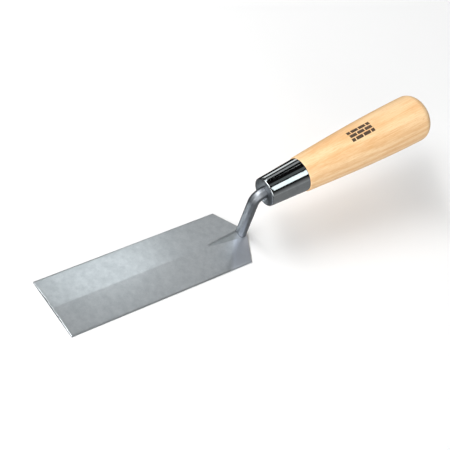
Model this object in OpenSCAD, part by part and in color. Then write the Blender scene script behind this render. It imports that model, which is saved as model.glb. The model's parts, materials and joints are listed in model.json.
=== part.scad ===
// Margin trowel: a long narrow blade, its shank and its tang are one steel forging,
// and the tang is bonded into a turned wooden handle behind a steel ferrule.
//
// The origin is the middle of the flat sole. +X runs from the toe towards the handle,
// +Z is up, and the tool is symmetric about the plane y = 0. Dimensions are millimetres.

/* [Blade] */
// Length of the blade from the toe to the point of the heel
blade_len = 127; // [110:1:140]
// Width of the blade
blade_w = 38.1; // [34:0.1:44]
// Distance that the heel's two corners stand in front of the heel point
heel_set = 10.3; // [8:0.1:14]
// Thickness at the toe's two corners
toe_edge_t = 0.7; // [0.5:0.1:1]
// Thickness on the centre ridge at the toe
toe_ridge_t = 1.4; // [1.2:0.1:1.8]
// Thickness on the centre ridge at the heel point
heel_ridge_t = 2; // [1.8:0.1:3]

/* [Tongue] */
// Distance from the heel point to the tongue's blunt front end
tongue_reach = 27.6; // [22:0.2:34]
// Height of the tongue's crest at its front end
tongue_tip_h = 2.3; // [2.2:0.1:3]
// Height of the tongue's crest where it meets the shank
tongue_root_h = 3.8; // [3.2:0.1:5]
// Slope of the tongue's two sides, in degrees
tongue_side = 35; // [20:1:45]

/* [Shank] */
// Diameter of the shank over its rounded corners
shank_d = 6.35; // [5.5:0.05:7]
// Distance across the shank's eight ground flats
shank_flats = 6.1; // [5.2:0.05:6.9]
// Distance from the heel point forward to the shank's axis
shank_set = 4.3; // [4:0.1:6]
// Radius of the fillet at the shank's foot
foot_r = 0.8; // [0.8:0.1:2.5]
// Height at which the shank's axis meets the handle's axis
knuckle_h = 32.2; // [26:0.1:40]
// Bend radius of the shank's axis
bend_r = 5.5; // [4.5:0.1:6.5]
// Rise of the handle's axis above the sole, in degrees
handle_rise = 10.2; // [0:0.1:20]

/* [Tang] */
// Diameter of the tang, from the bend back into the handle
tang_d = 5.8; // [4.5:0.1:5.9]
// Length of the tang behind the ferrule's front face
tang_len = 66; // [50:1:90]

/* [Ferrule] */
// Length of the ferrule
ferrule_len = 24.8; // [18:0.1:32]
// Outer diameter at the ferrule's closed front
ferrule_front_d = 16.6; // [14:0.1:18]
// Outer diameter at the ferrule's open rim
ferrule_rear_d = 19.6; // [18:0.1:20]
// Thickness of the ferrule's wall
ferrule_wall = 1; // [0.6:0.1:1.2]
// Radius round the edge of the ferrule's front
ferrule_edge_r = 0.6; // [0.3:0.1:1]
// Distance from the knuckle to the ferrule's front face
ferrule_gap = 5.8; // [5.6:0.1:9]

/* [Handle] */
// Length of the wooden handle behind the ferrule's rim
grip_len = 90.5; // [80:0.5:110]
// Diameter of the wood where it leaves the ferrule
grip_front_d = 20.6; // [20.4:0.1:22]
// Largest diameter of the handle
grip_d = 28; // [25:0.1:32]
// Length of the rounded butt
butt_len = 8.7; // [6:0.1:14]
// Diameter of the hole bored for the tang
bore_d = 8; // [7:0.1:9]
// Depth of that hole, from the ferrule's front face
bore_len = 70; // [60:1:95]

/* [Hidden] */

steel_colour = "silver";
chrome_colour = "gainsboro";
wood_colour = "burlywood";
bond_colour = "dimgray";

// Round features. The count only sets how fine the preview mesh is.
ROUND = 96;
// Steps along each curved outline
STEPS = 24;
// A length longer than the whole tool, for the blocks that trim it
BIG = 400;
// The shank starts this far above the sole, inside the blade
FOOT_Z = 0.4;
// The ferrule's hole is this much larger than the tang, all round
HOLE_CLEARANCE = 0.15;
// The wood's nose stops this far short of the ferrule's front wall
NOSE_GAP = 0.8;
// The tang is rooted this deep in the bend
TANG_ROOT = 0.5;
// Length of the pointed end of the tang
TANG_POINT = 5;
// Radius that eases the wood's shoulder behind the ferrule
SHOULDER_R = 0.5;

toe_x = -blade_len / 2;
heel_x = blade_len / 2;
shank_x = heel_x - shank_set;
ridge_slope = (heel_ridge_t - toe_ridge_t) / blade_len;
facet_slope = 2 * (toe_ridge_t - toe_edge_t) / blade_w;
tongue_x = heel_x - tongue_reach;
tongue_slope = (tongue_root_h - tongue_tip_h) / (shank_x - shank_d / 2 - tongue_x);
bend_turn = 90 - handle_rise;
bend_reach = bend_r * tan(bend_turn / 2);
ferrule_taper = (ferrule_rear_d - ferrule_front_d) / 2 / ferrule_len;
nose_z = ferrule_wall + NOSE_GAP;
belly_z = ferrule_len + grip_len - butt_len;

// The solid below a straight ridge that starts at [x, 0, z] and rises towards +X.
// Its two sides fall away from the ridge by `side` for each millimetre of y.
module under_ridge(x, z, rise, side) {
    intersection_for(half = [-1, 1])
        translate([x, 0, z])
            rotate([half * atan(side * cos(atan(rise))), -atan(rise), 0])
                translate([-BIG / 2, -BIG / 2, -BIG])
                    cube(BIG);
}

// The blade seen from above: square at the toe, with a blunt point at the heel.
module blade_plan(height) {
    linear_extrude(height)
        polygon([
            [toe_x, -blade_w / 2],
            [heel_x - heel_set, -blade_w / 2],
            [heel_x, 0],
            [heel_x - heel_set, blade_w / 2],
            [toe_x, blade_w / 2],
        ]);
}

// Two long facets that meet on the centre ridge.
module blade_plate() {
    intersection() {
        blade_plan(BIG / 2);
        under_ridge(toe_x, toe_ridge_t, ridge_slope, facet_slope);
    }
}

// The raised spine that spreads the shank's load into the blade.
module tongue() {
    intersection() {
        translate([tongue_x, -blade_w / 4, 0])
            cube([shank_x - tongue_x, blade_w / 2, tongue_root_h * 2]);
        under_ridge(tongue_x, tongue_tip_h, tongue_slope, tan(tongue_side));
    }
}

// The shank's section: a circle with eight narrow flats ground on it.
module shank_section() {
    intersection() {
        circle(d = shank_d, $fn = ROUND);
        rotate(22.5)
            circle(d = shank_flats / cos(22.5), $fn = 8);
    }
}

// A concave fillet round the shank's foot, cut off flush with the heel.
module shank_foot() {
    foot_z = heel_ridge_t - ridge_slope * shank_set;
    ring_r = shank_d / 2 + foot_r;
    intersection() {
        blade_plan(BIG / 2);
        translate([shank_x, 0, 0])
            rotate_extrude($fn = ROUND)
                difference() {
                    translate([0, FOOT_Z])
                        square([ring_r, foot_z - FOOT_Z + foot_r]);
                    translate([ring_r, foot_z + foot_r])
                        circle(r = foot_r, $fn = ROUND);
                }
    }
}

// Moves its children to the knuckle, with +Z along the handle's axis.
module along_handle(distance) {
    translate([shank_x, 0, knuckle_h])
        rotate([0, 90 - handle_rise, 0])
            translate([0, 0, distance])
                children();
}

module shank() {
    translate([shank_x, 0, FOOT_Z])
        linear_extrude(knuckle_h - bend_reach - FOOT_Z)
            shank_section();
    translate([shank_x + bend_r, 0, knuckle_h - bend_reach])
        rotate([90, 0, 180])
            rotate_extrude(angle = bend_turn, $fn = ROUND)
                translate([bend_r, 0])
                    shank_section();
}

// The round tang starts inside the bend, passes through the ferrule's front and
// ends in a blunt point inside the handle.
module tang() {
    tang_start = bend_reach - TANG_ROOT;
    tang_end = ferrule_gap + tang_len;
    along_handle(tang_start)
        cylinder(d = tang_d, h = tang_end - TANG_POINT - tang_start, $fn = ROUND);
    along_handle(tang_end - TANG_POINT)
        cylinder(d1 = tang_d, d2 = tang_d / 2, h = TANG_POINT, $fn = ROUND);
}

module blade_forging() {
    color(steel_colour) {
        blade_plate();
        tongue();
        shank_foot();
        shank();
        tang();
    }
}

// A tapered cup. Its closed front has the hole that the tang passes through.
module ferrule() {
    front_r = ferrule_front_d / 2;
    outline = [
        [0, 0],
        for (k = [0 : 6])
            [
                front_r - ferrule_edge_r * (1 - sin(15 * k)),
                ferrule_edge_r * (1 - cos(15 * k)),
            ],
        [ferrule_rear_d / 2, ferrule_len],
        [ferrule_rear_d / 2 - ferrule_wall, ferrule_len],
        [front_r + ferrule_taper * ferrule_wall - ferrule_wall, ferrule_wall],
        [0, ferrule_wall],
    ];
    color(chrome_colour)
        along_handle(ferrule_gap)
            difference() {
                rotate_extrude($fn = ROUND)
                    polygon(outline);
                translate([0, 0, -ferrule_wall])
                    cylinder(d = tang_d + 2 * HOLE_CLEARANCE, h = 3 * ferrule_wall, $fn = ROUND);
            }
}

// The radius of the wood's nose, which fills the ferrule from inside.
function nose_r(z) = ferrule_front_d / 2 - ferrule_wall + ferrule_taper * z;

// The radius of the grip, which swells along a quarter of a sine wave.
function grip_r(z) =
    grip_front_d / 2
    + (grip_d - grip_front_d) / 2 * sin(90 * (z - ferrule_len) / (belly_z - ferrule_len));

// Turned from one piece: a nose in the ferrule, a shoulder, a swelling grip, a round butt.
module handle() {
    outline = [
        [0, nose_z],
        [nose_r(nose_z), nose_z],
        [nose_r(ferrule_len), ferrule_len],
        for (k = [0 : 4])
            [
                grip_front_d / 2 - SHOULDER_R * (1 - sin(22.5 * k)),
                ferrule_len + SHOULDER_R * (1 - cos(22.5 * k)),
            ],
        for (k = [1 : STEPS])
            let (z = ferrule_len + SHOULDER_R + (belly_z - ferrule_len - SHOULDER_R) * k / STEPS)
                [grip_r(z), z],
        for (k = [1 : STEPS - 1])
            [
                grip_d / 2 * cos(90 * k / STEPS),
                belly_z + butt_len * sin(90 * k / STEPS),
            ],
        [0, belly_z + butt_len],
    ];
    color(wood_colour)
        along_handle(ferrule_gap)
            difference() {
                rotate_extrude($fn = ROUND)
                    polygon(outline);
                cylinder(d = bore_d, h = bore_len, $fn = ROUND);
            }
}

// The set resin that fills the bore round the tang and past its point.
module tang_bond() {
    outline = [
        [tang_d / 2, nose_z],
        [bore_d / 2, nose_z],
        [bore_d / 2, bore_len],
        [0, bore_len],
        [0, tang_len],
        [tang_d / 4, tang_len],
        [tang_d / 2, tang_len - TANG_POINT],
    ];
    color(bond_colour)
        along_handle(ferrule_gap)
            rotate_extrude($fn = ROUND)
                polygon(outline);
}

blade_forging();
ferrule();
handle();
tang_bond();
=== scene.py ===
import json
import math

import bmesh
import bpy
import numpy as np
from mathutils import Matrix, Vector
from mathutils.geometry import delaunay_2d_cdt

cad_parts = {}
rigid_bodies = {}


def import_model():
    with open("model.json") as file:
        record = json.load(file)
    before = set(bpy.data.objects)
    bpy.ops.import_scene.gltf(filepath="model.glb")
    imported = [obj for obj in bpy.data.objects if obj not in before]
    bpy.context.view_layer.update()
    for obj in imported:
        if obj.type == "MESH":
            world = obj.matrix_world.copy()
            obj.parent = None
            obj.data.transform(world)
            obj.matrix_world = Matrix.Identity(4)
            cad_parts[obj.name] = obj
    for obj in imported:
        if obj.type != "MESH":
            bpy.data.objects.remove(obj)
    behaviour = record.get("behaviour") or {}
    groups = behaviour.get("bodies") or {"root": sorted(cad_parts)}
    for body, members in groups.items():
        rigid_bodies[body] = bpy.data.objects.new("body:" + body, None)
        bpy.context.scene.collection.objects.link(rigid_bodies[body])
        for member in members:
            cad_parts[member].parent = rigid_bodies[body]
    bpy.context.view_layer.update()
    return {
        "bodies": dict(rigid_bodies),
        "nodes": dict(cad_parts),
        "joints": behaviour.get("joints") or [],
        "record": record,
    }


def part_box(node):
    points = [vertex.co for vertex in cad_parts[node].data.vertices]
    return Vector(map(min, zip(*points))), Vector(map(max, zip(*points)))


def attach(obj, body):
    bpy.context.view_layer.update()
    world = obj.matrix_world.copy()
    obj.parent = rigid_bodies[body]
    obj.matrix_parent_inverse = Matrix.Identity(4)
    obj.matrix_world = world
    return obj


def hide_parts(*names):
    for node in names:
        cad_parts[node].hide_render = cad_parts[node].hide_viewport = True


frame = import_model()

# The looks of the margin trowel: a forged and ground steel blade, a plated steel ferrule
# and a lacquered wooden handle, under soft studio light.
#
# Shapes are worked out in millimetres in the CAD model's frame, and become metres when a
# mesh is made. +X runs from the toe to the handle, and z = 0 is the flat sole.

MM = 0.001
TURN = 2 * math.pi

# ---- Dimensions shared with the CAD model, in millimetres ----
forging_low, forging_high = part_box("blade_forging")
TOE_X = forging_low.x / MM
HEEL_X = -TOE_X
HALF_W = forging_high.y / MM
HEEL_SET = 10.3
TOE_EDGE_T = 0.7
TOE_RIDGE_T = 1.4
HEEL_RIDGE_T = 2.0
TONGUE_X = HEEL_X - 27.6
TONGUE_TIP_H = 2.3
TONGUE_ROOT_H = 3.8
TONGUE_SIDE = math.tan(math.radians(35))
SHANK_X = HEEL_X - 4.3
SHANK_R = 6.35 / 2
SHANK_FLAT_R = 6.1 / 2
KNUCKLE_H = 32.2
BEND_R = 5.5
HANDLE_RISE = math.radians(10.2)
TANG_R = 5.8 / 2
TANG_LEN = 66.0
TANG_POINT = 5.0
FERRULE_GAP = 5.8
FERRULE_LEN = 24.8
FERRULE_FRONT_R = 16.6 / 2
FERRULE_REAR_R = 19.6 / 2
FERRULE_WALL = 1.0
FERRULE_EDGE_R = 0.6
NOSE_GAP = 0.8
GRIP_LEN = 90.5
GRIP_FRONT_R = 20.6 / 2
GRIP_R = 28 / 2
BUTT_LEN = 8.7
BORE_R = 8 / 2
BORE_LEN = 70.0

RIDGE_SLOPE = (HEEL_RIDGE_T - TOE_RIDGE_T) / (HEEL_X - TOE_X)
FACET_SLOPE = (TOE_RIDGE_T - TOE_EDGE_T) / HALF_W
TONGUE_SLOPE = (TONGUE_ROOT_H - TONGUE_TIP_H) / (SHANK_X - SHANK_R - TONGUE_X)
BEND_TURN = math.pi / 2 - HANDLE_RISE
BEND_REACH = BEND_R * math.tan(BEND_TURN / 2)

# Local +Z runs along the handle from the knuckle, and local +X is the handle's upper side.
HANDLE_FRAME = Matrix.Translation((SHANK_X * MM, 0, KNUCKLE_H * MM)) @ Matrix.Rotation(
    BEND_TURN, 4, "Y"
) @ Matrix.Rotation(math.pi, 4, "Z")


# ---- Mesh helpers ----
AXIS_TOLERANCE = 1e-6
# Faces that meet at a larger angle than this are shaded with a crisp corner.
CORNER_ANGLE = math.radians(37)


def make_piece(name, points, faces, replaced, place=Matrix.Identity(4)):
    """A closed smooth-shaded mesh piece from points in millimetres, moved by place."""
    mesh = bpy.data.meshes.new(name)
    mesh.from_pydata([place @ (Vector(p) * MM) for p in points], [], faces)
    work = bmesh.new()
    work.from_mesh(mesh)
    bmesh.ops.recalc_face_normals(work, faces=work.faces)
    work.to_mesh(mesh)
    work.free()
    mesh.shade_smooth()
    mesh.set_sharp_from_angle(angle=CORNER_ANGLE)
    piece = bpy.data.objects.new(name, mesh)
    bpy.context.scene.collection.objects.link(piece)
    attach(piece, "root")
    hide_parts(replaced)
    return piece


def soft_max(a, b, blend):
    """The larger of two heights, rounded over where they cross."""
    return (a + b + np.sqrt((a - b) ** 2 + blend**2)) / 2


def soft_min(a, b, blend):
    """The smaller of two heights, rounded over where they cross."""
    return -soft_max(-a, -b, blend)


def arc(centre, radius, start, end, steps):
    """Points of a lathe outline, (radius, z), round part of a circle. Angles are degrees."""
    angles = np.radians(np.linspace(start, end, steps + 1))
    return [(centre[0] + radius * math.cos(a), centre[1] + radius * math.sin(a)) for a in angles]


def lathe(outline, segments):
    """Points and faces of a closed outline of (radius, z) turned about z. A radius of 0 is
    one point on the axis."""
    rings, points, faces = [], [], []
    for radius, z in outline:
        if radius < AXIS_TOLERANCE:
            rings.append([len(points)])
            points.append((0.0, 0.0, z))
            continue
        rings.append(list(range(len(points), len(points) + segments)))
        for k in range(segments):
            turn = TURN * k / segments
            points.append((radius * math.cos(turn), radius * math.sin(turn), z))
    for ring, after in zip(rings, rings[1:] + rings[:1]):
        if len(ring) == 1 and len(after) == 1:
            continue
        for k in range(segments):
            n = (k + 1) % segments
            if len(ring) == 1:
                faces.append((ring[0], after[n], after[k]))
            elif len(after) == 1:
                faces.append((ring[k], ring[n], after[0]))
            else:
                faces.append((ring[k], ring[n], after[n], after[k]))
    return points, faces


# ---- Blade, shank and tang: one forging ----
# How far the blade's ridge and the tongue's crest are rounded over, to each side
RIDGE_SOFT = 0.35
CREST_SOFT = 0.2
TONGUE_NOSE_SLOPE = 2.5
TONGUE_BACK_SLOPE = 1.6
TONGUE_BLEND = 0.05
EDGE_R = 0.2
SOLE_EDGE_R = 0.12
SOLE_EDGE_STEPS = 3
# Rows of points that follow the blade's edge, by their distance from it
EDGE_ROWS = (0.0, 0.03, 0.1, 0.2)
SUPPORT_ROW = 0.6
# Rows of points across the blade: close at the ridge, then even, and the step between them
RIDGE_ROWS = (0.15, 0.35, 0.7, 1.2)
WIDE_ROW_START = 2.0
WIDE_ROW_STEP = 1.2
ROW_CLEARANCE = 0.5
# Rows beside the tongue's crest and foot, by their distance from it, and one between them
FLANK_NEAR = 0.12
FLANK_FAR = 0.3
FLANK_SHARE = 0.6
LEAST_ROW = 0.05
# Stations along the plate and the tongue: where they start or end, and their steps
PLATE_START = 0.9
PLATE_END = 0.6
PLATE_STEP = 1.5
TONGUE_START = 1
TONGUE_STEP = 0.6
# Stations at the tongue's tip, along x from it
NOSE_STATIONS = (-0.4, -0.1, 0.0, 0.06, 0.12, 0.18, 0.25, 0.45)
# The waves beside the shank: their height as a share of the distance from it, how many
# there are in a turn, where they start, the distance from the shank where they are
# strongest, how far they reach either side of it, and how fast they end at the ridge
WAVE_HEIGHT = 0.002
WAVE_COUNT = 10
WAVE_PHASE = math.radians(100)
WAVE_MIDDLE = 18.0
WAVE_REACH = 15.0
WAVE_FADE = 2.0
SHANK_SIDES = 96
SHANK_RINGS = 16
SHANK_RINGS_START = 6.6
BEND_RINGS = 33
# Rings of points in the plate round the shank's foot
FOOT_REACH = 0.3
FOOT_STEPS = 3
FOOT_CLEARANCE = 0.15
EDGE_CLEARANCE = 0.1
# Heights of the rings just above the shank's foot, each above the one before
FOOT_SUPPORTS = (0.05, 0.15, 0.5)
# Stations about the ferrule's face, and about the step down to the tang, along the handle
FACE_STATIONS = (-0.6, 0.4)
STEP_STATIONS = (-0.6, -0.1)

# Triangles whose middles are nearer to the edge than this are slivers along it
SLIVER_REACH = 0.005

# Points of the plan closer than this are one point
PLAN_TOLERANCE = 1e-5

# The blade's plan, anticlockwise from the toe's near corner, with each edge's point count
CORNERS = np.array(
    [
        (TOE_X, -HALF_W),
        (HEEL_X - HEEL_SET, -HALF_W),
        (HEEL_X, 0.0),
        (HEEL_X - HEEL_SET, HALF_W),
        (TOE_X, HALF_W),
    ]
)
EDGE_COUNTS = (90, 64, 64, 90, 30)
EDGE_VECTORS = np.roll(CORNERS, -1, axis=0) - CORNERS
EDGE_NORMALS = np.stack([-EDGE_VECTORS[:, 1], EDGE_VECTORS[:, 0]], axis=1)
EDGE_NORMALS = EDGE_NORMALS / np.linalg.norm(EDGE_NORMALS, axis=1)[:, None]
EDGE_OFFSETS = np.sum(EDGE_NORMALS * CORNERS, axis=1)


def edge_distance(x, y):
    """How far a point of the plan lies inside the nearest edge."""
    inside = [n[0] * x + n[1] * y - c for n, c in zip(EDGE_NORMALS, EDGE_OFFSETS)]
    return np.min(inside, axis=0)


def inset_outline(inset):
    """The plan's outline moved inwards, with the same number of points at any inset."""
    corners = []
    for k in range(len(CORNERS)):
        pair = EDGE_NORMALS[[k - 1, k]]
        corners.append(np.linalg.solve(pair, EDGE_OFFSETS[[k - 1, k]] + inset))
    points = []
    for k, count in enumerate(EDGE_COUNTS):
        start, end = corners[k], corners[(k + 1) % len(corners)]
        points.extend(start + (end - start) * j / count for j in range(count))
    return points


def shank_radius(turn):
    """The shank's section: a circle with eight narrow flats."""
    from_flat = (turn + math.pi / 8) % (math.pi / 4) - math.pi / 8
    return np.minimum(SHANK_R, SHANK_FLAT_R / np.cos(from_flat))


def from_shank(x, y):
    """Distance from the shank's surface, in plan."""
    return np.hypot(x - SHANK_X, y) - shank_radius(np.arctan2(y, x - SHANK_X))


def plate_z(x, y):
    """Height of the plate: a low ridge along its middle that rises to the heel."""
    ridge = TOE_RIDGE_T + RIDGE_SLOPE * (x - TOE_X)
    return ridge - FACET_SLOPE * np.sqrt(y**2 + RIDGE_SOFT**2)


def tongue_z(x, y):
    """Height of the tongue, a steeper ridge that runs into the shank's foot."""
    crest = TONGUE_TIP_H + TONGUE_SLOPE * (x - TONGUE_X)
    sides = crest - TONGUE_SIDE * np.sqrt(y**2 + CREST_SOFT**2)
    nose = plate_z(x, y) + TONGUE_NOSE_SLOPE * (x - TONGUE_X)
    back = crest - TONGUE_BACK_SLOPE * (x - SHANK_X)
    return soft_min(soft_min(sides, nose, TONGUE_BLEND), back, TONGUE_BLEND)


def wave_z(x, y):
    """Faint radial waves in the plate beside the shank, on the near side. They are a guess,
    made to bend reflections as they bend in the photo."""
    r = np.hypot(x - SHANK_X, y)
    turn = np.arctan2(y, SHANK_X - x)
    height = WAVE_HEIGHT * r * np.exp(-(((r - WAVE_MIDDLE) / WAVE_REACH) ** 2))
    height = height / (1 + np.exp(y / WAVE_FADE))
    return height * np.sin(WAVE_COUNT * turn + WAVE_PHASE)


def blade_z(x, y):
    """Height of the blade's upper surface."""
    into_edge = np.clip(EDGE_R - edge_distance(x, y), 0, EDGE_R)
    edge_drop = EDGE_R - np.sqrt(EDGE_R**2 - into_edge**2)
    body = soft_max(plate_z(x, y) + wave_z(x, y), tongue_z(x, y), TONGUE_BLEND)
    return body - edge_drop


def tongue_half_width(x):
    """How far the tongue's foot lies from the middle, at each side."""
    crest = TONGUE_TIP_H + TONGUE_SLOPE * (x - TONGUE_X)
    ridge = TOE_RIDGE_T + RIDGE_SLOPE * (x - TOE_X)
    return (crest - ridge) / (TONGUE_SIDE - FACET_SLOPE)


def field_points():
    """Points of the blade's surface away from its edges and the shank's foot, closer
    together at the ridge and along the tongue."""
    wide_rows = np.arange(WIDE_ROW_START, HALF_W, WIDE_ROW_STEP)
    points = []
    for x in np.arange(TOE_X + PLATE_START, TONGUE_X - PLATE_END, PLATE_STEP):
        rows = np.concatenate([RIDGE_ROWS, wide_rows])
        points.extend((x, y) for y in np.concatenate([-rows, [0.0], rows]))
    nose = TONGUE_X + np.array(NOSE_STATIONS)
    tongue = np.arange(TONGUE_X + TONGUE_START, HEEL_X, TONGUE_STEP)
    for x in np.concatenate([nose, tongue]):
        half = tongue_half_width(x)
        flank = [FLANK_NEAR, FLANK_FAR, FLANK_SHARE * half, half - FLANK_FAR, half - FLANK_NEAR]
        flank += [half, half + FLANK_NEAR, half + FLANK_FAR]
        flank = np.array(flank)
        flank = flank[flank > LEAST_ROW]
        rows = np.concatenate([flank, wide_rows[wide_rows > half + ROW_CLEARANCE]])
        points.extend((x, y) for y in np.concatenate([-rows, [0.0], rows]))
    return [
        p
        for p in points
        if edge_distance(*p) > SUPPORT_ROW + EDGE_CLEARANCE
        and from_shank(*p) > FOOT_REACH + FOOT_CLEARANCE
    ]


def foot_points():
    """Rings round the shank's foot. The first is where the shank rises."""
    turns = TURN * np.arange(SHANK_SIDES) / SHANK_SIDES
    radius = shank_radius(turns)
    rings = []
    for step in range(FOOT_STEPS + 1):
        grown = radius + FOOT_REACH * step / FOOT_STEPS
        ring = np.stack([SHANK_X + grown * np.cos(turns), grown * np.sin(turns)], axis=1)
        if step:
            ring = [p for p in ring if edge_distance(*p) > EDGE_R + EDGE_CLEARANCE]
        rings.append(ring)
    return rings


def shank_path():
    """Stations along the shank and tang: centre x and z, the path's turn from upright, and
    the section's radius as a share of the shank's. Shares other than 1 are the round tang."""
    top = KNUCKLE_H - BEND_REACH
    stations = [(SHANK_X, z, 0.0, 1.0) for z in np.linspace(SHANK_RINGS_START, top, SHANK_RINGS)]
    for turn in np.linspace(0, BEND_TURN, BEND_RINGS)[1:]:
        x = SHANK_X + BEND_R * (1 - math.cos(turn))
        stations.append((x, top + BEND_R * math.sin(turn), turn, 1.0))
    tang_end = FERRULE_GAP + TANG_LEN
    inside = FERRULE_GAP + FERRULE_WALL + NOSE_GAP
    share = TANG_R / SHANK_R
    for along, scale in (
        (FERRULE_GAP + FACE_STATIONS[0], 1.0),
        (FERRULE_GAP + FACE_STATIONS[1], 1.0),
        (inside + STEP_STATIONS[0], 1.0),
        (inside + STEP_STATIONS[1], share),
        (tang_end - TANG_POINT, share),
        (tang_end, share / 2),
    ):
        x = SHANK_X + along * math.sin(BEND_TURN)
        stations.append((x, KNUCKLE_H + along * math.cos(BEND_TURN), BEND_TURN, scale))
    return stations


def blade_forging():
    """The blade's upper surface over its plan, its walls and sole, and the shank and tang."""
    plan, ring_ids = [], []
    outline_rows = [inset_outline(d) for d in EDGE_ROWS]
    for row in outline_rows:
        plan.extend(row)
    foot_edge = FOOT_REACH + FOOT_CLEARANCE
    plan.extend(p for p in inset_outline(SUPPORT_ROW) if from_shank(*p) > foot_edge)
    for k, ring in enumerate(foot_points()):
        if k == 0:
            ring_ids = list(range(len(plan), len(plan) + len(ring)))
        plan.extend(ring)
    plan.extend(field_points())
    rim = len(outline_rows[0])
    borders = [(k, (k + 1) % rim) for k in range(rim)]
    borders += list(zip(ring_ids, ring_ids[1:] + ring_ids[:1]))
    flat, _, triangles, sources, _, _ = delaunay_2d_cdt(
        [Vector(p) for p in plan], borders, [], 0, PLAN_TOLERANCE
    )
    placed = {source: k for k, found in enumerate(sources) for source in found}
    xs, ys = np.array([p.x for p in flat]), np.array([p.y for p in flat])
    points = [tuple(p) for p in np.stack([xs, ys, blade_z(xs, ys)], axis=1)]
    middles = np.array([[xs[list(t)].mean(), ys[list(t)].mean()] for t in triangles])
    # The shank's own section is left out, and so are slivers between points of one edge.
    keep = from_shank(middles[:, 0], middles[:, 1]) > 0
    keep &= edge_distance(middles[:, 0], middles[:, 1]) > SLIVER_REACH
    faces = [tuple(t) for t, kept in zip(triangles, keep) if kept]

    # Side walls, an eased lower edge and the flat sole
    upper = [placed[k] for k in range(rim)]
    for turn in np.linspace(0, math.pi / 2, SOLE_EDGE_STEPS + 1):
        inset = SOLE_EDGE_R * (1 - math.cos(turn))
        z = SOLE_EDGE_R * (1 - math.sin(turn))
        lower = list(range(len(points), len(points) + rim))
        points.extend((p[0], p[1], z) for p in inset_outline(inset))
        faces.extend(
            (upper[k], lower[k], lower[(k + 1) % rim], upper[(k + 1) % rim]) for k in range(rim)
        )
        upper = lower
    faces.append(tuple(upper))

    # Shank and tang
    turns = TURN * np.arange(SHANK_SIDES) / SHANK_SIDES
    radius = shank_radius(turns)
    below = [placed[k] for k in ring_ids]
    for rise in FOOT_SUPPORTS:
        ring = list(range(len(points), len(points) + SHANK_SIDES))
        points.extend((points[k][0], points[k][1], points[k][2] + rise) for k in list(below))
        faces.extend(
            (below[k], below[(k + 1) % SHANK_SIDES], ring[(k + 1) % SHANK_SIDES], ring[k])
            for k in range(SHANK_SIDES)
        )
        below = ring
    for x, z, turn, scale in shank_path():
        ring = list(range(len(points), len(points) + SHANK_SIDES))
        reach = radius * scale if scale == 1.0 else np.full(SHANK_SIDES, SHANK_R * scale)
        out, side = reach * np.cos(turns), reach * np.sin(turns)
        points.extend(
            (x + o * math.cos(turn), s, z - o * math.sin(turn)) for o, s in zip(out, side)
        )
        faces.extend(
            (below[k], below[(k + 1) % SHANK_SIDES], ring[(k + 1) % SHANK_SIDES], ring[k])
            for k in range(SHANK_SIDES)
        )
        below = ring
    faces.append(tuple(below))
    return make_piece("blade_steel", points, faces, "blade_forging")


# ---- Ferrule ----
HOLE_R = SHANK_R + 0.12
HOLE_EASE = 0.15
RIM_R = 0.18
# Points round the ferrule and the handle
LATHE_SEGMENTS = 160
# Rings across the ferrule's face and along its side, and how far in they start and end
FACE_RINGS = 4
FACE_START = 0.5
FACE_MARGIN = 0.15
SIDE_RINGS = 16
SIDE_MARGIN = 0.3
FRONT_EDGE_STEPS = 8
RIM_STEPS = 5


def ferrule_shell():
    """A tapered cup with rounded edges and a hole in its front for the shank."""
    taper = (FERRULE_REAR_R - FERRULE_FRONT_R) / FERRULE_LEN
    lean = math.degrees(math.atan(taper))
    rear = FERRULE_GAP + FERRULE_LEN
    inner_front = FERRULE_FRONT_R - FERRULE_WALL
    outline = [(HOLE_R, FERRULE_GAP + FERRULE_WALL), (HOLE_R, FERRULE_GAP + HOLE_EASE)]
    outline += [(HOLE_R + HOLE_EASE, FERRULE_GAP)]
    front_edge = FERRULE_FRONT_R - FERRULE_EDGE_R - FACE_MARGIN
    face_radii = np.linspace(HOLE_R + FACE_START, front_edge, FACE_RINGS)
    outline += [(radius, FERRULE_GAP) for radius in face_radii]
    centre = (FERRULE_FRONT_R - FERRULE_EDGE_R, FERRULE_GAP + FERRULE_EDGE_R)
    outline += arc(centre, FERRULE_EDGE_R, -90, -lean, FRONT_EDGE_STEPS)
    side_start, side_end = FERRULE_GAP + FERRULE_EDGE_R, rear - RIM_R
    for z in np.linspace(side_start + SIDE_MARGIN, side_end - SIDE_MARGIN, SIDE_RINGS):
        outline.append((FERRULE_FRONT_R + taper * (z - FERRULE_GAP), z))
    outline += arc((FERRULE_REAR_R - RIM_R, rear - RIM_R), RIM_R, -lean, 90, RIM_STEPS)
    outline += [(FERRULE_REAR_R - FERRULE_WALL, rear)]
    outline += [(inner_front + taper * FERRULE_WALL, FERRULE_GAP + FERRULE_WALL)]
    points, faces = lathe(outline, LATHE_SEGMENTS)
    return make_piece("ferrule_shell", points, faces, "ferrule", HANDLE_FRAME)


# ---- Handle ----
SHOULDER_R = 0.5
SHOULDER_STEPS = 6
GRIP_STEPS = 60
BUTT_STEPS = 18


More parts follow.
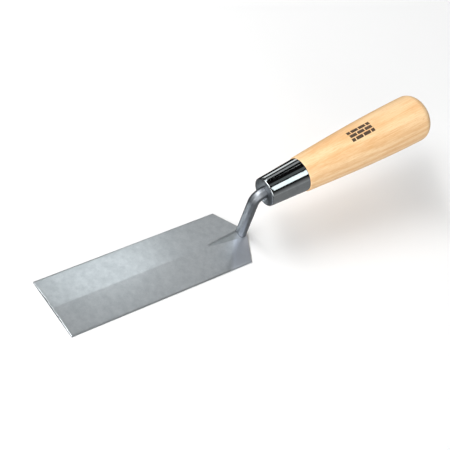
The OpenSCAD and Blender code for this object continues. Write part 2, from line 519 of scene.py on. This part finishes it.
def handle_wood():
    """The turned grip, its nose inside the ferrule, and the bore for the tang."""
    rear = FERRULE_GAP + FERRULE_LEN
    taper = (FERRULE_REAR_R - FERRULE_FRONT_R) / FERRULE_LEN
    nose = FERRULE_GAP + FERRULE_WALL + NOSE_GAP
    nose_r = FERRULE_FRONT_R - FERRULE_WALL + taper * (nose - FERRULE_GAP)
    belly = rear + GRIP_LEN - BUTT_LEN
    bore_end = FERRULE_GAP + BORE_LEN
    outline = [(0.0, bore_end), (BORE_R, bore_end), (BORE_R, nose), (nose_r, nose)]
    outline += [(FERRULE_REAR_R - FERRULE_WALL, rear)]
    outline += arc((GRIP_FRONT_R - SHOULDER_R, rear + SHOULDER_R), SHOULDER_R, -90, 0, SHOULDER_STEPS)
    for share in np.linspace(0, 1, GRIP_STEPS + 1)[1:]:
        z = rear + SHOULDER_R + share * (belly - rear - SHOULDER_R)
        swell = math.sin(math.pi / 2 * (z - rear) / (belly - rear))
        outline.append((GRIP_FRONT_R + (GRIP_R - GRIP_FRONT_R) * swell, z))
    for k in range(1, BUTT_STEPS + 1):
        turn = math.pi / 2 * k / BUTT_STEPS
        outline.append((GRIP_R * math.cos(turn), belly + BUTT_LEN * math.sin(turn)))
    points, faces = lathe(outline, LATHE_SEGMENTS)
    return make_piece("handle_wood", points, faces, "handle", HANDLE_FRAME)


# ---- Materials ----
# Painted reflections: brighter zones painted into the steel's colour at the heel, behind a slanting
# line and in a spot beside the shank. They stand in for what the blade mirrors in the photo, which
# isn't known.
ZONE_SLANT = math.radians(40)
ZONE_START = 3.3
HEEL_REFLECTION_SHARE = 0.9
SPOT_PLACE = (-3.0, -8.5)
SPOT_REACH = 7.0
SPOT_REFLECTION_SHARE = 0.75


class Shader:
    """The nodes of a material or world. Sockets are given by name, as numbers, colours or
    other sockets."""

    def __init__(self, owner, frame=None):
        """owner is a world, or the name of a new material. frame, if given, is a matrix:
        coordinates are then in its axes, and not in the tool's."""
        self.frame = frame
        self.owner = bpy.data.materials.new(owner) if isinstance(owner, str) else owner
        self.owner.use_nodes = True
        self.tree = self.owner.node_tree
        self.tree.nodes.clear()

    def node(self, kind, settings=None, **sockets):
        made = self.tree.nodes.new("ShaderNode" + kind)
        for key, value in (settings or {}).items():
            setattr(made, key, value)
        for key, value in sockets.items():
            self.feed(made.inputs[key.replace("_", " ")], value)
        return made

    def feed(self, socket, value):
        if isinstance(value, bpy.types.NodeSocket):
            self.tree.links.new(value, socket)
        else:
            socket.default_value = value

    def math(self, operation, *values):
        made = self.tree.nodes.new("ShaderNodeMath")
        made.operation = operation
        for socket, value in zip(made.inputs, values):
            self.feed(socket, value)
        return made.outputs[0]

    def millimetres(self, scale=(1, 1, 1)):
        """Coordinates in millimetres in the shader's frame, multiplied by scale."""
        found = self.node("TexCoord").outputs["Object"]
        if self.frame is not None:
            into = self.node("Mapping", {"vector_type": "TEXTURE"}, Vector=found)
            into.inputs["Location"].default_value = self.frame.to_translation()
            into.inputs["Rotation"].default_value = self.frame.to_euler()
            found = into.outputs[0]
        grown = self.node("VectorMath", {"operation": "MULTIPLY"})
        self.feed(grown.inputs[0], found)
        self.feed(grown.inputs[1], tuple(s / MM for s in scale))
        return grown.outputs[0]

    def noise(self, vector, size, detail=3.0, roughness=0.5):
        """Noise about 0.5 whose patches are about size millimetres across."""
        made = self.node(
            "TexNoise", Vector=vector, Scale=1 / size, Detail=detail, Roughness=roughness
        )
        return made.outputs[0]

    def length(self, a, b):
        """The distance at two offsets at right angles."""
        squares = [self.math("POWER", offset, 2.0) for offset in (a, b)]
        return self.math("SQRT", self.math("ADD", *squares))

    def ramp(self, value, low, high, start=0.0, end=1.0):
        made = self.node("MapRange", {"clamp": True}, Value=value)
        limits = {"From Min": low, "From Max": high, "To Min": start, "To Max": end}
        for key, number in limits.items():
            made.inputs[key].default_value = number
        return made.outputs[0]

    def mix(self, share, a, b):
        made = self.tree.nodes.new("ShaderNodeMix")
        made.data_type = "RGBA"
        for key, value in ((0, share), (6, a), (7, b)):
            self.feed(made.inputs[key], value)
        return made.outputs[2]

    def bump(self, height, distance):
        """A bump whose full height is distance, in millimetres."""
        made = self.node("Bump", Strength=1.0, Distance=distance * MM, Height=height)
        return made.outputs[0]

    def finish(self, **sockets):
        shader = self.node("BsdfPrincipled", **sockets)
        self.node("OutputMaterial", Surface=shader.outputs[0])
        return self.owner


def rgb(red, green, blue):
    """A colour from 0 to 255 as shown on a screen, made linear. It holds above 10."""
    linear = [((c / 255 + 0.055) / 1.055) ** 2.4 for c in (red, green, blue)]
    return (*linear, 1.0)


# Each pair is the darker and the lighter tone that noise mixes.
GROUND_TONES = (rgb(190, 196, 200), rgb(208, 213, 216))
FORGED_TONES = (rgb(146, 151, 157), rgb(162, 166, 171))
PLATED_TONES = (rgb(192, 198, 200), rgb(204, 208, 210))
WOOD_TONES = (rgb(237, 186, 130), rgb(254, 218, 170))
RESIN_TONES = (rgb(70, 66, 60), rgb(92, 86, 78))
HEEL_REFLECTION_COLOUR = rgb(236, 242, 252)
# Painted shade for the ferrule's front face
FRONT_FACE_SHADE_COLOUR = rgb(150, 154, 158)
FLECK_COLOUR = rgb(222, 168, 104)
INK_COLOUR = rgb(52, 38, 30)
# The values between which most of a noise lies
NOISE_SPAN = (0.3, 0.7)
TONE_SPAN = (0.35, 0.65)


def painted_heel_reflection(s, mm):
    """How much painted reflection lightens the near side of the heel, from 0 to 1 or a little over.
    """
    x, y, _ = s.node("SeparateXYZ", Vector=mm).outputs
    past_line = s.math("SUBTRACT", s.math("MULTIPLY", y, math.sin(ZONE_SLANT)), ZONE_START)
    from_shank_x = s.math("SUBTRACT", x, SHANK_X)
    past_line = s.math("SUBTRACT", past_line, s.math("MULTIPLY", from_shank_x, math.cos(ZONE_SLANT)))
    heel = s.ramp(past_line, 1.2, -1.2, 0.0, HEEL_REFLECTION_SHARE)
    spot_x = s.math("SUBTRACT", from_shank_x, SPOT_PLACE[0])
    spot_y = s.math("SUBTRACT", y, SPOT_PLACE[1])
    spot = s.ramp(s.length(spot_x, spot_y), 1.0, SPOT_REACH, SPOT_REFLECTION_SHARE, 0.0)
    zones = s.math("ADD", heel, spot)
    return s.math("MULTIPLY", zones, s.ramp(y, 0.0, -1.5))


def steel_material():
    """Bright on the blade and tongue, with painted reflections at the heel, and duller and darker on
    the shank.
    """
    s = Shader("ground forged steel")
    mm = s.millimetres()
    x, y, height = s.node("SeparateXYZ", Vector=mm).outputs
    from_axis = s.length(s.math("SUBTRACT", x, SHANK_X), y)
    foot = s.ramp(from_axis, SHANK_R + 0.3, SHANK_R + 0.05)
    forged = s.math("MAXIMUM", foot, s.ramp(height, TONGUE_ROOT_H + 0.2, TONGUE_ROOT_H + 0.8))
    clouds = s.noise(mm, 3.2, 4.0, 0.6)
    speckle = s.noise(mm, 0.5, 2.0, 0.6)
    lines = s.noise(s.millimetres((0.05, 1.0, 1.0)), 0.25, 2.0, 0.5)
    tone = s.math("ADD", s.math("MULTIPLY", clouds, 0.7), s.math("MULTIPLY", speckle, 0.3))
    ground_colour = s.mix(s.ramp(tone, *TONE_SPAN), *GROUND_TONES)
    # Painted reflection: lightens the blade's colour at the heel
    ground_colour = s.mix(painted_heel_reflection(s, mm), ground_colour, HEEL_REFLECTION_COLOUR)
    forged_colour = s.mix(s.ramp(tone, *TONE_SPAN), *FORGED_TONES)
    ground_rough = s.ramp(clouds, *NOISE_SPAN, 0.34, 0.30)
    rough = s.math("ADD", ground_rough, s.math("MULTIPLY", forged, 0.16))
    relief = s.math("ADD", s.math("MULTIPLY", speckle, 0.6), s.math("MULTIPLY", lines, 0.4))
    return s.finish(
        Base_Color=s.mix(forged, ground_colour, forged_colour),
        Metallic=s.ramp(forged, 0.0, 1.0, 0.92, 1.0),
        Roughness=rough,
        Normal=s.bump(relief, 0.003),
    )


def plated_material():
    """Bright plating, rougher on the ferrule's front face and darkened there with painted shade, as
    the photo shows it.
    """
    s = Shader("plated steel", HANDLE_FRAME)
    mm = s.millimetres()
    along = s.node("SeparateXYZ", Vector=mm).outputs["Z"]
    front = s.ramp(along, FERRULE_GAP + 0.25, FERRULE_GAP + 0.05)
    haze = s.noise(mm, 4.0, 3.0)
    scratch = s.noise(s.millimetres((1.0, 1.0, 0.12)), 0.3, 2.0)
    colour = s.mix(s.ramp(haze, *NOISE_SPAN), *PLATED_TONES)
    side_rough = s.ramp(scratch, *NOISE_SPAN, 0.07, 0.10)
    rough = s.math("ADD", side_rough, s.math("MULTIPLY", front, 0.28))
    return s.finish(
        # The front face's darker colour is painted shade; its extra roughness is a duller finish
        Base_Color=s.mix(front, colour, FRONT_FACE_SHADE_COLOUR),
        Metallic=1.0,
        Roughness=rough,
        Normal=s.bump(scratch, 0.0004),
    )


# The printed mark: its middle along the handle, its size, and its bricks
MARK_MIDDLE = FERRULE_GAP + FERRULE_LEN + 40.7
MARK_LEN = 16.0
MARK_W = 7.8
COURSE_H = 2.6
BRICK_LEN = 5.33
JOINT_W = 0.32

# The tree's pith, as an offset from the handle's axis, how far the layers wander, and the
# spacing of the growth rings
PITH_BELOW = 17.0
PITH_SIDE = 6.0
PITH_WANDER = 7.0
RING_SPACING = 3.4


def wood_material():
    """Pale lacquered wood with growth rings, streaks and flecks along it, and a printed mark."""
    s = Shader("lacquered hardwood", HANDLE_FRAME)
    across, side, along = s.node("SeparateXYZ", Vector=s.millimetres()).outputs
    wander = s.noise(s.millimetres((1, 1, 0.12)), 9.0, 2.0)
    drift = s.math("MULTIPLY", s.math("SUBTRACT", wander, 0.5), PITH_WANDER)
    above_pith = s.math("ADD", s.math("ADD", across, PITH_BELOW), drift)
    beside_pith = s.math("SUBTRACT", side, PITH_SIDE)
    far = s.length(above_pith, beside_pith)
    rings = s.math("SINE", s.math("MULTIPLY", far, TURN / RING_SPACING))
    streaks = s.noise(s.millimetres((1, 1, 0.035)), 0.55, 3.0, 0.6)
    flecks = s.noise(s.millimetres((1, 1, 0.09)), 0.28, 1.0)
    clouds = s.noise(s.millimetres((1, 1, 0.3)), 11.0, 2.0)
    tone = s.math("ADD", s.math("MULTIPLY", rings, 0.10), s.math("MULTIPLY", streaks, 0.75))
    tone = s.math("ADD", tone, s.math("MULTIPLY", clouds, 0.35))
    colour = s.mix(s.ramp(tone, 0.36, 0.72), *WOOD_TONES)
    colour = s.mix(s.ramp(flecks, 0.58, 0.72, 0.0, 0.45), colour, FLECK_COLOUR)

    # A printed mark of generic brickwork on the upper side
    from_middle = s.math("SUBTRACT", along, MARK_MIDDLE)
    spot = s.node(
        "CombineXYZ",
        X=s.math("ADD", from_middle, MARK_LEN / 2),
        Y=s.math("ADD", side, MARK_W / 2),
    )
    bricks = s.node("TexBrick", {"offset": 0.5}, Vector=spot.outputs[0])
    for key, value in (
        ("Color1", (1, 1, 1, 1)),
        ("Color2", (1, 1, 1, 1)),
        ("Mortar", (0, 0, 0, 1)),
        ("Scale", 1.0),
        ("Mortar Size", JOINT_W),
        ("Mortar Smooth", 0.1),
        ("Brick Width", BRICK_LEN),
        ("Row Height", COURSE_H),
    ):
        bricks.inputs[key].default_value = value
    in_length = s.math("LESS_THAN", s.math("ABSOLUTE", from_middle), MARK_LEN / 2)
    in_width = s.math("LESS_THAN", s.math("ABSOLUTE", side), MARK_W / 2)
    on_top = s.math("GREATER_THAN", across, 0.0)
    in_mark = s.math("MULTIPLY", s.math("MULTIPLY", in_length, in_width), on_top)
    wear = s.ramp(s.noise(s.millimetres(), 0.35, 2.0), 0.28, 0.42, 0.75, 0.96)
    ink = s.math("MULTIPLY", s.math("MULTIPLY", in_mark, bricks.outputs[0]), wear)
    colour = s.mix(ink, colour, INK_COLOUR)
    rough = s.ramp(streaks, *NOISE_SPAN, 0.42, 0.5)
    return s.finish(
        Base_Color=colour,
        Roughness=rough,
        Coat_Weight=0.35,
        Coat_Roughness=0.22,
        Normal=s.bump(streaks, 0.015),
    )


def resin_material():
    """Dull grey resin, hidden inside the handle."""
    s = Shader("cast resin")
    cloud = s.noise(s.millimetres(), 2.0, 3.0)
    colour = s.mix(s.ramp(cloud, *NOISE_SPAN), *RESIN_TONES)
    rough = s.ramp(cloud, *NOISE_SPAN, 0.4, 0.55)
    return s.finish(Base_Color=colour, Roughness=rough, Normal=s.bump(cloud, 0.03))


# ---- Studio ----
CAMERA_AIM = Vector((48.0, 3.7, 10.0)) * MM
CAMERA_DISTANCE = 655.3 * MM
CAMERA_AZIMUTH = math.radians(38.03)
CAMERA_DROP = math.radians(45.63)
CAMERA_ROLL = math.radians(21.25)
CAMERA_LENS = 95.2
# The middle of the tool, which the lights are placed about
LIGHT_AIM = (75, 0, 35)
COOL = (0.92, 1.0, 1.0)
FLOOR_REACH = 4.0
FLOOR_WHITE = 0.97


def make_camera():
    """A camera that looks along CAMERA_AZIMUTH and down, rolled about its own axis."""
    level = math.cos(CAMERA_DROP)
    forward = Vector(
        (level * math.cos(CAMERA_AZIMUTH), level * math.sin(CAMERA_AZIMUTH), -math.sin(CAMERA_DROP))
    )
    right = forward.cross(Vector((0, 0, 1))).normalized()
    up = right.cross(forward)
    rolled = right * math.cos(CAMERA_ROLL) + up * math.sin(CAMERA_ROLL)
    turned = Matrix((rolled, rolled.cross(forward), -forward)).transposed()
    data = bpy.data.cameras.new("camera")
    data.lens = CAMERA_LENS
    data.clip_start = 0.01
    camera = bpy.data.objects.new("camera", data)
    bpy.context.scene.collection.objects.link(camera)
    camera.matrix_world = Matrix.Translation(CAMERA_AIM - forward * CAMERA_DISTANCE) @ turned.to_4x4()
    bpy.context.scene.camera = camera


def softbox(name, azimuth, elevation, distance, size, radiance, colour=(1, 1, 1), aim=LIGHT_AIM):
    """A soft area light. azimuth and elevation, in degrees, are the direction to it from
    the aim point, which is in millimetres. distance and size, its width and height, are in
    metres. radiance is how bright its face looks, so its power follows from its area."""
    data = bpy.data.lights.new(name, "AREA")
    data.shape = "RECTANGLE"
    data.size, data.size_y = size
    data.energy = radiance * math.pi * size[0] * size[1]
    data.color = colour
    light = bpy.data.objects.new(name, data)
    light.visible_camera = False
    bpy.context.scene.collection.objects.link(light)
    around, above = math.radians(azimuth), math.radians(elevation)
    towards = Vector(
        (math.cos(above) * math.cos(around), math.cos(above) * math.sin(around), math.sin(above))
    )
    turned = towards.to_track_quat("Z", "Y").to_matrix().to_4x4()
    light.matrix_world = Matrix.Translation(Vector(aim) * MM + towards * distance) @ turned


def make_lights():
    """The key and fill light the floor and the wood. blade_light and ceiling are mainly for
    the blade to mirror, and the rest are mainly for the ferrule, tongue and shank."""
    softbox("key", 150, 57, 1.8, (2.0, 0.55), 9.6)
    softbox("blade_light", 53, 47, 0.193, (0.092, 0.04), 1.62, (0.93, 0.99, 1.0), (-27, 8, 1))
    softbox("fill", -127, 20, 2.0, (2.4, 1.3), 2.1)
    softbox("ceiling", 28, 46, 1.6, (1.1, 1.0), 0.58)
    softbox("side", -38, 42, 1.6, (0.8, 0.7), 0.3)
    softbox("strip", -69, 54, 1.4, (0.24, 0.66), 1.8, COOL)
    softbox("top", -20, 80, 2.0, (0.55, 0.55), 0.13, COOL)
    softbox("glow", 70, 36, 1.4, (0.2, 0.34), 0.42)
    softbox("horizon", 66.5, 7, 1.4, (0.13, 0.36), 1.1)


def make_world():
    """A dark room above, paler low down and towards -X, and a grey table, darker towards +Y
    and -X."""
    world = bpy.data.worlds.new("studio")
    bpy.context.scene.world = world
    world.use_nodes = True
    s = Shader(world)
    x, y, z = s.node("SeparateXYZ", Vector=s.node("TexCoord").outputs["Generated"]).outputs
    wall = s.math("MULTIPLY", s.ramp(z, 0.1, 0.55, 0.34, 0.004), s.ramp(y, 0.2, 0.6, 1.0, 0.3))
    left = s.ramp(x, 0.1, -0.5, 0.0, 0.25)
    table = s.math("MULTIPLY", s.ramp(y, 0.4, 0.6, 1.0, 0.08), s.ramp(x, -0.4, 0.2, 0.05, 0.26))
    above = s.math("GREATER_THAN", z, 0.0)
    level = s.node("Mix", {"data_type": "FLOAT"})
    for key, value in ((0, above), (2, table), (3, s.math("ADD", wall, left))):
        s.feed(level.inputs[key], value)
    background = s.node("Background", Color=level.outputs[0])
    s.node("OutputWorld", Surface=background.outputs[0])


def make_floor():
    """A plain pale floor. The metal mirrors the world's table instead of it."""
    mesh = bpy.data.meshes.new("floor")
    corners = [(x * FLOOR_REACH, y * FLOOR_REACH, 0) for x, y in ((-1, -1), (1, -1), (1, 1), (-1, 1))]
    mesh.from_pydata(corners, [], [(0, 1, 2, 3)])
    floor = bpy.data.objects.new("floor", mesh)
    bpy.context.scene.collection.objects.link(floor)
    s = Shader("floor")
    colour = (FLOOR_WHITE, FLOOR_WHITE, FLOOR_WHITE, 1)
    mesh.materials.append(s.finish(Base_Color=colour, Roughness=0.9))
    floor.visible_glossy = False


make_camera()
blade_forging().data.materials.append(steel_material())
ferrule_shell().data.materials.append(plated_material())
handle_wood().data.materials.append(wood_material())
bond = frame["nodes"]["tang_bond"]
bond.data.materials.clear()
bond.data.materials.append(resin_material())
make_world()
make_lights()
make_floor()
bpy.context.scene.view_settings.view_transform = "Standard"
